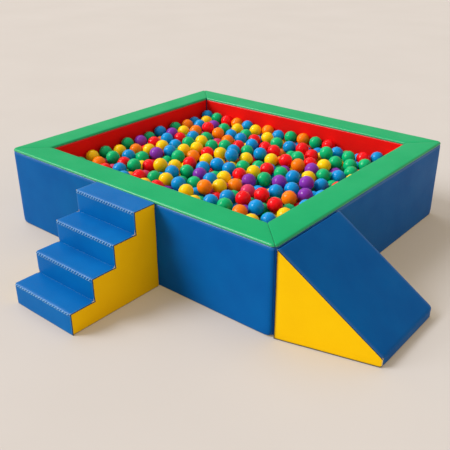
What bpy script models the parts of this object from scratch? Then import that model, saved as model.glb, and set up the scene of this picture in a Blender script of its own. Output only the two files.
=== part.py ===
"""Soft-play ball pit: four mitred foam walls, a base mat, a block of steps, a ramp and the balls.

The origin is the centre of the pit on the floor, +Z is up and all lengths are in metres. The
steps stand on the front (-Y) wall and the ramp on the right (+X) wall. Each block is a foam
core in a sewn vinyl cover: the cover's panels are separate pieces that meet at their seams.
Hook-and-loop strips hold block to block, and each cover closes with a zip underneath.
"""

import math
import random

import bmesh
import bpy
from mathutils import Matrix

# The pit
pit_length = 1.60
pit_depth = 1.44
wall_height = 0.40
wall_thickness = 0.14
corner_radius = 0.025
top_edge_radius = 0.010
bottom_edge_radius = 0.008
top_seam_drop = 0.013
inner_seam_height = 0.015

# Vinyl covers and the gaps between pieces
vinyl = 0.003
fit = 0.0003
block_gap = 0.0006
overrun = 0.02

# Hook-and-loop strips
strip_thickness = 0.0015
corner_strip_width = 0.05
corner_strip_margin = 0.05
block_strip_width = 0.05
block_strip_margin = 0.05
block_strip_height_share = 0.75

# Zips, seen from below: tape inside the cover, coil in the slot, slider round the coil
zip_slot_width = 0.016
zip_tape_width = 0.030
zip_tape_thickness = 0.001
zip_tape_lap = 0.010
zip_coil_width = 0.007
zip_coil_depth = 0.0014
zip_end_margin = 0.12
zip_slider_length = 0.020
zip_slider_width = 0.012
zip_slider_clearance = 0.0005
zip_slider_flange = 0.0010
zip_ground_clearance = 0.0005

# The base mat inside the walls
mat_thickness = 0.030
mat_edge_radius = 0.006
mat_gap = 0.0005

# The block of steps
step_count = 4
step_tread = 0.117
step_rise = 0.0985
step_nose_radius = 0.006
steps_width = 0.358
steps_offset = 0.0235

# The ramp, whose sides run off square so that its toe stands further back than its top
ramp_width = 0.42
ramp_length = 0.40
ramp_height = 0.392
ramp_toe_height = 0.042
ramp_toe_radius = 0.012
ramp_top_radius = 0.006
ramp_corner_setback = 0.003
ramp_toe_offset = 0.103

# The balls
ball_diameter = 0.070
ball_pitch_gap = 0.0065
ball_least_gap = 0.0012
ball_shake = 0.014
ball_sink = 0.008
ball_rise = 0.023
ball_fill_height = 0.279
ball_fill_gap = 0.002

# Counts of facets, the sharpest bend that is shaded smooth, and how the balls are strewn
corner_facets = 3
edge_facets = 2
nose_facets = 3
dome_segments = 6
dome_rings = 4
loose_ball_segments = 10
loose_ball_rings = 6
smooth_angle = math.radians(35)
ball_seed = 7
settling_rounds = 60

# Where the loose balls lie: shares of the way from the pit's middle to its right and back walls
loose_ball_shares = (
    (-0.60, 0.60),
    (-0.10, 0.10),
    (0.50, 0.70),
    (-0.40, -0.50),
    (0.20, -0.60),
    (0.70, 0.00),
)

SIDES = ("front", "right", "back", "left")

VINYL_COLOURS = {
    "blue": (0.004, 0.085, 0.330),
    "green": (0.030, 0.440, 0.160),
    "red": (0.700, 0.012, 0.010),
    "yellow": (0.880, 0.520, 0.004),
}
BALL_COLOURS = {
    "red": (0.780, 0.010, 0.020),
    "blue": (0.003, 0.200, 0.620),
    "green": (0.004, 0.300, 0.080),
    "yellow": (0.900, 0.560, 0.004),
    "orange": (0.930, 0.200, 0.004),
    "purple": (0.160, 0.030, 0.320),
    "pink": (0.800, 0.060, 0.120),
}
BALL_WEIGHTS = (10, 10, 12, 8, 5, 4, 2)


def clear_scene():
    for thing in list(bpy.data.objects):
        bpy.data.objects.remove(thing, do_unlink=True)


def new_collection(name):
    made = bpy.data.collections.new(name)
    bpy.context.scene.collection.children.link(made)
    return made


def finish(name, colour, roughness, metallic=0.0, specular=0.5):
    """A Principled material in one colour."""
    made = bpy.data.materials.new(name)
    made.use_nodes = True
    shader = made.node_tree.nodes["Principled BSDF"]
    shader.inputs["Base Color"].default_value = (*colour, 1.0)
    shader.inputs["Roughness"].default_value = roughness
    shader.inputs["Metallic"].default_value = metallic
    shader.inputs["Specular IOR Level"].default_value = specular
    made.diffuse_color = (*colour, 1.0)
    return made


def make_finishes():
    made = {f"{name}_vinyl": finish(f"{name}_vinyl", colour, 0.42) for name, colour in VINYL_COLOURS.items()}
    for name, colour in BALL_COLOURS.items():
        made[f"{name}_ball"] = finish(f"{name}_ball", colour, 0.22)
    made["foam"] = finish("foam", (0.62, 0.60, 0.52), 0.95, specular=0.1)
    made["hook_tape"] = finish("hook_tape", (0.012, 0.012, 0.014), 0.85)
    made["loop_tape"] = finish("loop_tape", (0.020, 0.020, 0.024), 0.95)
    made["zip_tape"] = finish("zip_tape", (0.015, 0.015, 0.017), 0.70)
    made["zip_metal"] = finish("zip_metal", (0.45, 0.45, 0.46), 0.35, metallic=1.0)
    made["non_slip_vinyl"] = finish("non_slip_vinyl", (0.030, 0.032, 0.036), 0.80)
    return made


def make_frame(name, place, quarter_turns=0):
    """An empty that stands on the floor and carries one block's pieces."""
    frame = bpy.data.objects.new(name, None)
    frame.location = place
    frame.rotation_euler = (0.0, 0.0, quarter_turns * math.pi / 2)
    parts.objects.link(frame)
    return frame


def add_piece(name, shape, material, parent):
    """Puts a finished bmesh into the scene as one named piece."""
    mesh = bpy.data.meshes.new(name)
    shape.to_mesh(mesh)
    shape.free()
    mesh.materials.append(finishes[material])
    mesh.shade_smooth()
    mesh.set_sharp_from_angle(angle=smooth_angle)
    piece = bpy.data.objects.new(name, mesh)
    piece.parent = parent
    parts.objects.link(piece)
    return piece


def add_cutter(name, shape, parent):
    mesh = bpy.data.meshes.new(name)
    shape.to_mesh(mesh)
    shape.free()
    cutter = bpy.data.objects.new(name, mesh)
    cutter.parent = parent
    cutter.hide_render = True
    cutter.display_type = "WIRE"
    cutters.objects.link(cutter)
    return cutter


def combine(piece, other, operation="DIFFERENCE"):
    """A live Boolean with the exact solver, which brings the other's materials along."""
    step = piece.modifiers.new(other.name, "BOOLEAN")
    step.object = other
    step.operation = operation
    step.solver = "EXACT"
    step.material_mode = "TRANSFER"


def box(low, high):
    """A cuboid between two corners."""
    shape = bmesh.new()
    bmesh.ops.create_cube(shape, size=1.0)
    size = [b - a for a, b in zip(low, high)]
    middle = [(a + b) / 2 for a, b in zip(low, high)]
    bmesh.ops.scale(shape, vec=size, verts=shape.verts)
    bmesh.ops.translate(shape, vec=middle, verts=shape.verts)
    return shape


def extrude_up(outline, low, high):
    """A plan outline carried up from one height to another."""
    shape = bmesh.new()
    foot = shape.faces.new([shape.verts.new((x, y, low)) for x, y in outline])
    raised = bmesh.ops.extrude_face_region(shape, geom=[foot])["geom"]
    top = [item for item in raised if isinstance(item, bmesh.types.BMVert)]
    bmesh.ops.translate(shape, vec=(0.0, 0.0, high - low), verts=top)
    bmesh.ops.recalc_face_normals(shape, faces=shape.faces)
    return shape


def extrude_along(outline, start, end):
    """A side-view outline of (distance out from the wall, height) points carried along local X."""
    shape = bmesh.new()
    side = shape.faces.new([shape.verts.new((start, -out, up)) for out, up in outline])
    carried = bmesh.ops.extrude_face_region(shape, geom=[side])["geom"]
    far = [item for item in carried if isinstance(item, bmesh.types.BMVert)]
    bmesh.ops.translate(shape, vec=(end - start, 0.0, 0.0), verts=far)
    bmesh.ops.recalc_face_normals(shape, faces=shape.faces)
    return shape


def inset_corners(corners, inset):
    """Moves every edge of a convex, counter-clockwise outline inwards by the same amount."""
    moved = []
    for index, (x, y, radius) in enumerate(corners):
        before = corners[index - 1]
        after = corners[(index + 1) % len(corners)]
        inx, iny = x - before[0], y - before[1]
        outx, outy = after[0] - x, after[1] - y
        inlong, outlong = math.hypot(inx, iny), math.hypot(outx, outy)
        inx, iny, outx, outy = inx / inlong, iny / inlong, outx / outlong, outy / outlong
        reach = inset / (1 + inx * outx + iny * outy)
        moved.append((x - reach * (iny + outy), y + reach * (inx + outx), max(radius - inset, 0.0)))
    return moved


def rounded(corners, facets):
    """The points of an outline whose corners carry their own radius."""
    points = []
    for index, (x, y, radius) in enumerate(corners):
        if not radius:
            points.append((x, y))
            continue
        before = corners[index - 1]
        after = corners[(index + 1) % len(corners)]
        arrive = math.atan2(y - before[1], x - before[0])
        leave = math.atan2(after[1] - y, after[0] - x)
        turn = (leave - arrive + math.pi) % (2 * math.pi) - math.pi
        back = radius * math.tan(abs(turn) / 2)
        start = (x - back * math.cos(arrive), y - back * math.sin(arrive))
        side = math.copysign(math.pi / 2, turn)
        centre = (start[0] + radius * math.cos(arrive + side), start[1] + radius * math.sin(arrive + side))
        for step in range(facets + 1):
            angle = arrive - side + turn * step / facets
            points.append((centre[0] + radius * math.cos(angle), centre[1] + radius * math.sin(angle)))
    return points


# Walls

def mitre_x(length, across, inset):
    """How far from the wall's middle its mitred end lies, at a distance across from the outer face."""
    return length / 2 - across - (block_gap / 2 + inset) * math.sqrt(2)


def wall_outline(length, inset):
    """Plan of one wall: half of each rounded outer corner, then the two inner ends of the mitres."""
    radius = corner_radius - inset
    first = -math.pi / 4 - math.acos((block_gap / 2 + inset) / radius)
    last = -math.pi / 2
    arc = []
    for step in range(corner_facets + 1):
        angle = first + (last - first) * step / corner_facets
        arc.append((
            -length / 2 + corner_radius + radius * math.cos(angle),
            corner_radius + radius * math.sin(angle),
        ))
    across = wall_thickness - inset
    end = mitre_x(length, across, inset)
    return arc + [(-x, y) for x, y in reversed(arc)] + [(end, across), (-end, across)]


def wall_block(length, inset):
    """One mitred wall with its long edges rounded, drawn in by the inset on every side."""
    shape = extrude_up(wall_outline(length, inset), inset, wall_height - inset)
    across = wall_thickness - inset
    for height, radius in ((inset, bottom_edge_radius), (wall_height - inset, top_edge_radius)):
        long_edges = [
            edge
            for edge in shape.edges
            if all(abs(vert.co.z - height) < fit for vert in edge.verts)
            and sum(abs(vert.co.y - across) < fit for vert in edge.verts) != 1
        ]
        bmesh.ops.bevel(
            shape,
            geom=long_edges,
            offset=radius - inset,
            offset_type="OFFSET",
            segments=edge_facets,
            profile=0.5,
            affect="EDGES",
        )
    return shape


def add_wall(side, quarter_turns):
    """A wall's foam core and the three panels of its cover. Returns its frame, cover and foam."""
    length = (pit_length, pit_depth)[quarter_turns % 2]
    span = (pit_depth, pit_length)[quarter_turns % 2]
    turn = quarter_turns * math.pi / 2
    place = (span / 2 * math.sin(turn), -span / 2 * math.cos(turn), 0.0)
    frame = make_frame(f"{side}_wall_frame", place, quarter_turns)
    name = f"{side}_wall"
    foam = add_piece(f"{name}_foam", wall_block(length, vinyl + fit), "foam", frame)
    cover = add_piece(f"{name}_outer_cover", wall_block(length, 0.0), "blue_vinyl", frame)
    top = add_piece(f"{name}_top_panel", wall_block(length, 0.0), "green_vinyl", frame)
    inner = add_piece(f"{name}_inner_panel", wall_block(length, 0.0), "red_vinyl", frame)

    cavity = add_cutter(f"{name}_cavity", wall_block(length, vinyl), frame)
    reach = length / 2 + overrun
    seam = wall_height - top_seam_drop
    past_top = wall_height + overrun
    past_inside = wall_thickness + overrun
    top_side = add_cutter(
        f"{name}_above_seam", box((-reach, -overrun, seam), (reach, past_inside, past_top)), frame
    )
    above = add_cutter(
        f"{name}_above_cover", box((-reach, -overrun, seam - fit), (reach, past_inside, past_top)), frame
    )
    face = wall_thickness - vinyl - fit
    inner_side = add_cutter(
        f"{name}_inside_seam",
        box((-reach, face, inner_seam_height + fit), (reach, past_inside, seam - fit)),
        frame,
    )
    inside = add_cutter(
        f"{name}_inside_cover",
        box((-reach, face - fit, inner_seam_height), (reach, past_inside, past_top)),
        frame,
    )
    for piece in (cover, top, inner):
        combine(piece, cavity)
    combine(top, top_side, "INTERSECT")
    combine(inner, inner_side, "INTERSECT")
    combine(cover, above)
    combine(cover, inside)
    return frame, cover, foam


# Hook-and-loop strips

def add_strip(name, material, width, height, place, turn, cover, frame):
    """A strip sewn flush into a recess in the cover. It faces local +Y before it is turned."""
    strip = add_piece(
        name, box((-width / 2, -strip_thickness, -height / 2), (width / 2, 0.0, height / 2)), material, frame
    )
    strip.location = place
    strip.rotation_euler = (0.0, 0.0, turn)
    depth = strip_thickness + fit
    recess = add_cutter(
        f"{name}_recess",
        box((-width / 2 - fit, -depth, -height / 2 - fit), (width / 2 + fit, overrun, height / 2 + fit)),
        frame,
    )
    recess.location = place
    recess.rotation_euler = (0.0, 0.0, turn)
    combine(cover, recess)


def add_corner_strips(side, length, cover, frame):
    """Hook tape on the wall's right-hand mitre and loop tape on the left-hand one."""
    across = wall_thickness / 2
    end = mitre_x(length, across, 0.0)
    for name, material, way in (("hook", "hook_tape", 1), ("loop", "loop_tape", -1)):
        add_strip(
            f"{side}_wall_{name}_strip",
            material,
            corner_strip_width,
            wall_height - 2 * corner_strip_margin,
            (way * end, across, wall_height / 2),
            -way * math.pi / 4,
            cover,
            frame,
        )


def add_block_strips(block, side, width, height, along, cover, frame, wall_cover, wall_frame):
    """Hook tape on a block's back and loop tape on the wall behind it, at one height."""
    length = width - 2 * block_strip_margin
    up = min(height, wall_height) * block_strip_height_share
    add_strip(
        f"{block}_hook_strip", "hook_tape", length, block_strip_width, (0.0, 0.0, up), 0.0, cover, frame
    )
    add_strip(
        f"{side}_wall_{block}_loop_strip", "loop_tape", length, block_strip_width,
        (along, 0.0, up), math.pi, wall_cover, wall_frame,
    )


# Zips

def slider_outline():
    """End view of the slider: a channel that opens upwards round the coil."""
    half = zip_slider_width / 2
    channel = zip_coil_width / 2 + zip_slider_clearance
    floor = zip_ground_clearance
    ledge = vinyl + fit - zip_coil_depth - zip_slider_clearance
    rim = ledge + zip_slider_flange
    return [
        (-half, floor), (half, floor), (half, rim), (channel, rim),
        (channel, ledge), (-channel, ledge), (-channel, rim), (-half, rim),
    ]


def zip_bar(centre, middle, half_length, width, low, high):
    """A straight bar along local X, given by its centre line and its two heights."""
    return box(
        (centre - half_length, middle - width / 2, low), (centre + half_length, middle + width / 2, high)
    )


def add_zip(name, centre, middle, half_length, cover, foam, frame):
    """A zip along local X under a block, closed, with its slider at the left-hand end."""
    tape_low = vinyl + fit
    tape_high = tape_low + zip_tape_thickness
    tape_half = half_length + zip_tape_lap
    tape = add_piece(
        f"{name}_zip",
        zip_bar(centre, middle, tape_half, zip_tape_width, tape_low, tape_high),
        "zip_tape",
        frame,
    )
    coil_low = tape_low - zip_coil_depth
    coil_high = tape_low + zip_tape_thickness / 2
    coil = add_cutter(
        f"{name}_zip_coil",
        zip_bar(centre, middle, half_length - fit, zip_coil_width, coil_low, coil_high),
        frame,
    )
    combine(tape, coil, "UNION")
    slot = add_cutter(
        f"{name}_zip_slot",
        zip_bar(centre, middle, half_length, zip_slot_width, -overrun, tape_low),
        frame,
    )
    combine(cover, slot)
    groove = add_cutter(
        f"{name}_zip_groove",
        zip_bar(centre, middle, tape_half + fit, zip_tape_width + 2 * fit, -overrun, tape_high + fit),
        frame,
    )
    combine(foam, groove)
    start = centre - half_length + zip_slider_clearance
    outline = [(out - middle, up) for out, up in slider_outline()]
    add_piece(
        f"{name}_zip_slider",
        extrude_along(outline, start, start + zip_slider_length),
        "zip_metal",
        frame,
    )


# The base mat

def add_mat():
    """Foam in a vinyl tray, closed by a non-slip sheet underneath."""
    frame = make_frame("base_mat_frame", (0.0, 0.0, 0.0))
    half_x = pit_length / 2 - wall_thickness - mat_gap
    half_y = pit_depth / 2 - wall_thickness - mat_gap
    add_piece(
        "base_mat_underside", box((-half_x, -half_y, 0.0), (half_x, half_y, vinyl)), "non_slip_vinyl", frame
    )
    low = vinyl + fit
    shell = box((-half_x, -half_y, low), (half_x, half_y, mat_thickness))
    rim = [edge for edge in shell.edges if all(vert.co.z > mat_thickness - fit for vert in edge.verts)]
    bmesh.ops.bevel(
        shell, geom=rim, offset=mat_edge_radius, segments=edge_facets, profile=0.5, affect="EDGES"
    )
    cover = add_piece("base_mat_cover", shell, "blue_vinyl", frame)
    hollow = add_cutter(
        "base_mat_hollow",
        box(
            (vinyl - half_x, vinyl - half_y, -overrun),
            (half_x - vinyl, half_y - vinyl, mat_thickness - vinyl),
        ),
        frame,
    )
    combine(cover, hollow)
    room = vinyl + fit
    add_piece(
        "base_mat_foam",
        box((room - half_x, room - half_y, low), (half_x - room, half_y - room, mat_thickness - room)),
        "foam",
        frame,
    )


# The steps

def stair_path(inset, foot, back):
    """Corners up the steps, from the foot of the lowest riser to the back of the top tread."""
    nose = max(step_nose_radius - inset, 0.0)
    path = [(step_count * step_tread - inset, foot, 0.0)]
    for step in range(1, step_count + 1):
        out = (step_count + 1 - step) * step_tread - inset
        up = step * step_rise - inset
        path.append((out, up, nose))
        if step < step_count:
            path.append((out - step_tread, up, 0.0))
    path.append((back, step_count * step_rise - inset, 0.0))
    return path


def stair_outline(inset):
    return rounded(stair_path(inset, inset, inset) + [(inset, inset, 0.0)], nose_facets)


def tread_ribbon():
    """Section of the blue vinyl that runs up every riser and over every tread."""
    start = vinyl + fit
    outer = rounded(stair_path(0.0, start, start), nose_facets)
    inner = rounded(stair_path(vinyl, start, start), nose_facets)
    return outer + inner[::-1]


def add_steps(wall_cover, wall_frame):
    place = (steps_offset, -pit_depth / 2 - block_gap, 0.0)
    frame = make_frame("steps_frame", place)
    half = steps_width / 2
    room = vinyl + fit
    depth = step_count * step_tread
    height = step_count * step_rise
    side = stair_outline(room)
    foam = add_piece("steps_foam", extrude_along(side, room - half, half - room), "foam", frame)
    add_piece("steps_tread_cover", extrude_along(tread_ribbon(), -half, half), "blue_vinyl", frame)
    add_piece("steps_left_side", extrude_along(side, -half, vinyl - half), "yellow_vinyl", frame)
    add_piece("steps_right_side", extrude_along(side, half - vinyl, half), "yellow_vinyl", frame)
    base = add_piece("steps_base", box((-half, -depth, 0.0), (half, 0.0, vinyl)), "non_slip_vinyl", frame)
    back = add_piece("steps_back", box((-half, -vinyl, room), (half, 0.0, height)), "blue_vinyl", frame)
    add_zip("steps", 0.0, -depth / 2, half - zip_end_margin / 2, base, foam, frame)
    add_block_strips("steps", "front", steps_width, height, steps_offset, back, frame, wall_cover, wall_frame)


# The ramp

def ramp_corners():
    return [
        (ramp_length, 0.0, 0.0),
        (ramp_length, ramp_toe_height, ramp_toe_radius),
        (0.0, ramp_height, ramp_top_radius),
        (0.0, 0.0, 0.0),
    ]


def ramp_outline(inset):
    return rounded(inset_corners(ramp_corners(), inset), nose_facets)


def ramp_block(inset, start, end):
    """The ramp's side view carried along the wall and sheared, so that its toe stands further back."""
    shape = extrude_along(ramp_outline(inset), start, end)
    for vert in shape.verts:
        vert.co.x -= vert.co.y * ramp_toe_offset / ramp_length
    return shape


def add_ramp(wall_cover, wall_frame):
    along = ramp_corner_setback + ramp_width / 2 - pit_depth / 2
    frame = make_frame("ramp_frame", (pit_length / 2 + block_gap, along, 0.0), 1)
    half = ramp_width / 2
    room = vinyl + fit
    foam = add_piece("ramp_foam", ramp_block(room, room - half, half - room), "foam", frame)
    cover = add_piece("ramp_cover", ramp_block(0.0, -half, half), "blue_vinyl", frame)
    hollow = add_cutter("ramp_hollow", ramp_block(vinyl, -half - overrun, half + overrun), frame)
    combine(cover, hollow)
    add_piece("ramp_front_side", ramp_block(room, -half, vinyl - half), "yellow_vinyl", frame)
    add_piece("ramp_rear_side", ramp_block(room, half - vinyl, half), "yellow_vinyl", frame)
    run = half - zip_end_margin / 2
    add_zip("ramp", ramp_toe_offset / 2, -ramp_length / 2, run, cover, foam, frame)
    add_block_strips("ramp", "right", ramp_width, ramp_height, along, cover, frame, wall_cover, wall_frame)


# The balls

def nested_rows(half_x, half_y):
    """Places in rows that are set half a ball aside in turn, as balls nest."""
    pitch = ball_diameter + ball_pitch_gap
    columns = int(2 * half_x / pitch) + 1
    rows = int(2 * half_y / (pitch * math.sqrt(3) / 2)) + 1
    step_x = 2 * half_x / (columns - 1)
    step_y = 2 * half_y / (rows - 1)
    return [
        [-half_x + (column + row % 2 / 2) * step_x, -half_y + row * step_y]
        for row in range(rows)
        for column in range(columns - row % 2)
    ]


def strewn_places(chance, half_x, half_y):
    """The top layer's places: nested rows, shaken, then pushed apart until no two balls touch."""
    places = nested_rows(half_x, half_y)
    for place in places:
        place[0] += chance.uniform(-ball_shake, ball_shake)
        place[1] += chance.uniform(-ball_shake, ball_shake)
    spacing = ball_diameter + ball_least_gap
    for _ in range(settling_rounds):
        for index, one in enumerate(places):
            for other in places[:index]:
                across, along = one[0] - other[0], one[1] - other[1]
                if abs(across) > spacing or abs(along) > spacing:
                    continue
                apart = math.sqrt(across * across + along * along)
                push = (spacing - apart) / apart / 2
                if push > 0:
                    one[0] += across * push
                    one[1] += along * push
                    other[0] -= across * push
                    other[1] -= along * push
        for place in places:
            place[0] = min(max(place[0], -half_x), half_x)
            place[1] = min(max(place[1], -half_y), half_y)
    return places


def add_dome(layer, place, height, turn, shade):
    """One ball of the top layer, kept coarse because there are hundreds."""
    made = bmesh.ops.create_uvsphere(
        layer,
        u_segments=dome_segments,
        v_segments=dome_rings,
        radius=ball_diameter / 2,
        matrix=Matrix.Translation((*place, height)) @ Matrix.Rotation(turn, 4, "Z"),
    )
    for vert in made["verts"]:
        for face in vert.link_faces:
            face.material_index = shade


def add_balls():
    """The bed of balls, with each ball of its top layer, and the loose balls that lie on it."""
    frame = make_frame("ball_frame", (0.0, 0.0, 0.0))
    chance = random.Random(ball_seed)
    half_x = pit_length / 2 - wall_thickness - ball_fill_gap
    half_y = pit_depth / 2 - wall_thickness - ball_fill_gap
    radius = ball_diameter / 2
    places = strewn_places(chance, half_x - radius, half_y - radius)
    names = list(BALL_COLOURS)
    loose = [
        min(places, key=lambda place: math.hypot(place[0] - u * half_x, place[1] - v * half_y))
        for u, v in loose_ball_shares
    ]
    layer = bmesh.new()
    for place in places:
        if place in loose:
            continue
        height = ball_fill_height + chance.uniform(ball_sink, ball_rise)
        shade = names.index(chance.choices(names, BALL_WEIGHTS)[0])
        add_dome(layer, place, height, chance.uniform(0, math.pi), shade)
    top_layer = add_cutter("ball_top_layer", layer, frame)
    for name in names:
        top_layer.data.materials.append(finishes[f"{name}_ball"])

    bed = add_piece(
        "ball_bed",
        box((-half_x, -half_y, mat_thickness + fit), (half_x, half_y, ball_fill_height)),
        "blue_ball",
        frame,
    )
    combine(bed, top_layer, "UNION")
    for colour, place in zip(names, loose):
        ball = bmesh.new()
        bmesh.ops.create_uvsphere(
            ball, u_segments=loose_ball_segments, v_segments=loose_ball_rings, radius=radius
        )
        piece = add_piece(f"loose_{colour}_ball", ball, f"{colour}_ball", frame)
        piece.location = (*place, ball_fill_height + radius + fit)


clear_scene()
parts = new_collection("ball_pit")
cutters = new_collection("cutters")
finishes = make_finishes()

walls = {}
for turns, side in enumerate(SIDES):
    frame, cover, foam = add_wall(side, turns)
    length = (pit_length, pit_depth)[turns % 2]
    add_corner_strips(side, length, cover, frame)
    half_zip = mitre_x(length, wall_thickness / 2, 0.0) - zip_end_margin
    add_zip(f"{side}_wall", 0.0, wall_thickness / 2, half_zip, cover, foam, frame)
    walls[side] = frame, cover
add_mat()
add_steps(walls["front"][1], walls["front"][0])
add_ramp(walls["right"][1], walls["right"][0])
add_balls()
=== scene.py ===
# %% [markdown]
# # A soft-play ball pit
#
# Four foam walls in sewn vinyl covers stand mitred corner to corner round a mat and hold hollow balls,
# about 1,450 in a real pit of this size. A block of steps leans on one wall and a ramp on the next. The
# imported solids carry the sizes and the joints. This script makes every visible skin again as a finely
# curved surface, so each new piece rides on one body of the solids and stands for those it covers.

import bpy
import numpy as np
from mathutils import Matrix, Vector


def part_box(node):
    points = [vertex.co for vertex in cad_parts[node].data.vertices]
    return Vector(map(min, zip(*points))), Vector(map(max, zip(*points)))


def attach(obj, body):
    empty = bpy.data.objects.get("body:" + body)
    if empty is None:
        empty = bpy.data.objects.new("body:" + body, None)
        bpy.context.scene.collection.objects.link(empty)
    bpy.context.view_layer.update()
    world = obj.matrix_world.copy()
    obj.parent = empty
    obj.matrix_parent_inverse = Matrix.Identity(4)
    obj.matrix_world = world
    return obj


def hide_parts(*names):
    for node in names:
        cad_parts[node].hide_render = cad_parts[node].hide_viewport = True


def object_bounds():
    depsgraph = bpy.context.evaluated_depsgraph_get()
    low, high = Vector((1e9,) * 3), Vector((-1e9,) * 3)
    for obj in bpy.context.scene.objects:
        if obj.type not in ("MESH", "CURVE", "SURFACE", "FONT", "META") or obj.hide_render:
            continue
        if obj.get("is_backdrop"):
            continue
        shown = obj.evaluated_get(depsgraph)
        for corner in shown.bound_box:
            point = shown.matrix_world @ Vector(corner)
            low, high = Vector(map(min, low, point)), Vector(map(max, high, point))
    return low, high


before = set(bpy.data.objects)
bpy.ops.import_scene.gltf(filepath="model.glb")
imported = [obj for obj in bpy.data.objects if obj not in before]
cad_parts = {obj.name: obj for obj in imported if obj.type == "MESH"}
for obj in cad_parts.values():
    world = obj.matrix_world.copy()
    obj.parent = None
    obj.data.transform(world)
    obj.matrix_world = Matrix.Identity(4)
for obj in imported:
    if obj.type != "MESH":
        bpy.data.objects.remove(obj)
cad_low, cad_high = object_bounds()


def box(node):
    """Lowest and highest corner of a solid, as two arrays."""
    return [np.array(corner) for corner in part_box(node)]


# %% [markdown]
# ## Camera
#
# The photograph was taken from the front right, a little above the walls. A camera placed by eye would
# leave every later comparison in doubt, so its viewing angle, distance and lens were worked out from the
# eleven corners of the pit that the photograph shows. A camera looks along its own -Z axis, so its third
# axis points back from the pit to the photographer.

# %% Camera at the photograph's viewing angle
def aimed(name, data, spot, ways):
    """An object at a spot, with its own X, Y and Z along three ways."""
    thing = bpy.data.objects.new(name, data)
    thing.matrix_world = Matrix.Translation(spot) @ Matrix(np.column_stack(ways).tolist()).to_4x4()
    bpy.context.scene.collection.objects.link(thing)
    return thing


view_azimuth, view_elevation, view_roll = np.radians((39.805, 26.476, -0.180))
back = np.array((
    np.sin(view_azimuth) * np.cos(view_elevation),
    -np.cos(view_azimuth) * np.cos(view_elevation),
    np.sin(view_elevation),
))
level = np.array((np.cos(view_azimuth), np.sin(view_azimuth), 0))
upright = np.cross(back, level)
across = np.cos(view_roll) * level + np.sin(view_roll) * upright
upward = np.cos(view_roll) * upright - np.sin(view_roll) * level
camera = aimed("camera", bpy.data.cameras.new("camera"), (1.9382, -2.3631, 1.4746), (across, upward, back))
camera.data.lens = 51.6
camera.data.sensor_width = 36
bpy.context.scene.camera = camera
print("camera at", tuple(round(value, 3) for value in camera.location))

# %% [markdown]
# ## Tools for surfaces
#
# Sewn covers are sheets. They could be cut out of boxes with bevels and loop cuts, but every seam, roll
# and gather would then be placed by hand on every panel. So most pieces here are grids of points: a
# profile is carried along a path, and each point is then pushed in along its normal. A seam pulls the
# cloth in, so the push grows towards a panel's edge like a quarter of an ellipse. Each point also keeps
# its distance to the nearest edge, which the materials use later for the painted shade in a seam and the
# painted highlight beside it.

# %% One grid of points
far_off = 0.1


def stacked(*values):
    """Joins arrays into one whose last axis holds their values side by side."""
    return np.stack(np.broadcast_arrays(*values), axis=-1)


def middles(grid):
    """The middle of each face, halfway along its diagonal."""
    return (grid[1:, 1:] + grid[:-1, :-1]) / 2


def part(grid, distance=far_off, uv=None, keep=None, centre=None):
    """Points, four-cornered faces, cloth coordinates and edge distance of one grid.

    Faces join each point to its neighbours in the next row and column. Their sum of (face middle -
    centre) x (face normal) is the volume of a cone from the centre, so where it is below zero the
    faces look inwards and are turned over."""
    rows, columns = grid.shape[:2]
    number = np.arange(rows * columns).reshape(rows, columns)
    faces = np.stack((number[:-1, :-1], number[:-1, 1:], number[1:, 1:], number[1:, :-1]), axis=-1)
    faces = faces.reshape(-1, 4) if keep is None else faces[keep]
    points = grid.reshape(-1, 3)
    distance = np.broadcast_to(distance, (rows, columns)).ravel()
    uv = points[:, :2] if uv is None else stacked(*uv).reshape(-1, 2)
    used, faces = np.unique(faces, return_inverse=True)
    faces = faces.reshape(-1, 4)
    points, distance, uv = points[used], distance[used], uv[used]
    corners = points[faces]
    normal = np.cross(corners[:, 2] - corners[:, 0], corners[:, 3] - corners[:, 1])
    middle = points.mean(axis=0) if centre is None else np.array(centre)
    if np.sum(normal * (corners.mean(axis=1) - middle)) < 0:
        faces = faces[:, ::-1]
    return {"points": points, "faces": faces, "uv": uv, "distance": distance}


# %% Parts joined into one
def joined(parts):
    """Lists the points of all parts after each other, and counts the faces' corners on."""
    starts = np.cumsum([0] + [len(item["points"]) for item in parts[:-1]])
    whole = {key: np.concatenate([item[key] for item in parts]) for key in parts[0] if key != "faces"}
    faces = np.concatenate([item["faces"] + start for item, start in zip(parts, starts)])
    return {**whole, "faces": faces}


def welded(parts):
    """Joins parts into one and merges the points that lie on each other."""
    whole = joined(parts)
    _, first, index = np.unique(
        np.round(whole["points"], 6), axis=0, return_index=True, return_inverse=True)
    faces = index.ravel()[whole.pop("faces")]
    return {**{key: values[first] for key, values in whole.items()}, "faces": faces}


def edgeless(points, faces, **extra):
    """A part whose points all lie far from any edge."""
    return {"points": points, "faces": faces, "uv": points[:, :2],
            "distance": np.full(len(points), far_off), **extra}


# %% The pieces made from them
edge_reach = 0.020
crease_angle = np.radians(45)
cloth_thickness = 0.0009


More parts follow.
